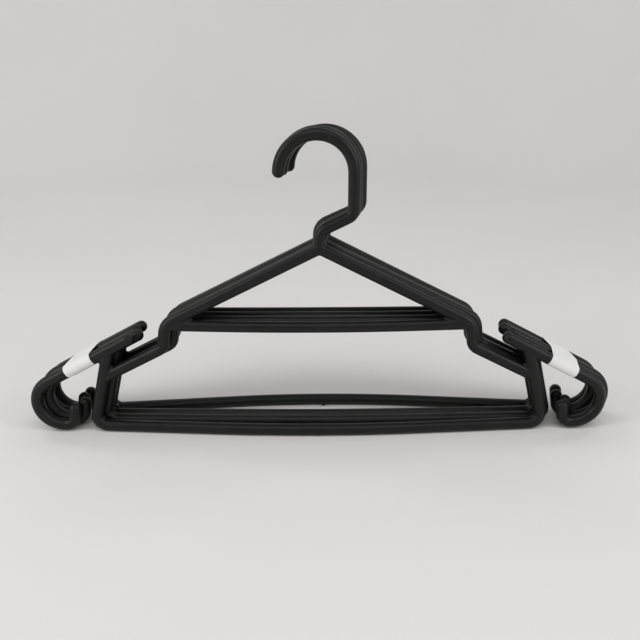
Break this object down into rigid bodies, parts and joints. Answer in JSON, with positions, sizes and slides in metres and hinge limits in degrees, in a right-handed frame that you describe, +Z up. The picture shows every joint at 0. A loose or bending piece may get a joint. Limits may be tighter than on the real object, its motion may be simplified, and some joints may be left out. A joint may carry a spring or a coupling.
{
  "type": "clothes hanger pack",
  "caption": "Pack of identical one-piece plastic clothes hangers with end hooks and strap notches, nested together and held by paper bands.",
  "frame": {"origin": "centre of the pack's footprint, on the surface that the bottom bars stand on", "axes": "+X across the shoulders, +Z up to the top hooks, -Y to the front of the pack"},
  "size_m": [0.4038, 0.0536, 0.2059],
  "materials": {
    "hanger_plastic": "satin moulded polypropylene, charcoal black",
    "band_paper": "matt white paper tape"
  },
  "bodies": {
    "pack": {"hanger_rear": "hanger_plastic", "hanger_second": "hanger_plastic", "hanger_third": "hanger_plastic", "hanger_front": "hanger_plastic"},
    "band_left": {"band_left": "band_paper"},
    "band_right": {"band_right": "band_paper"}
  },
  "joints": [
    {"name": "band_left_slide", "type": "slide", "parent": "pack", "child": "band_left", "axis": [-0.8829, 0, -0.4695], "range_m": [-0.0003, 0.01]},
    {"name": "band_right_slide", "type": "slide", "parent": "pack", "child": "band_right", "axis": [0.8829, 0, -0.4695], "range_m": [-0.0005, 0.01]}
  ]
}
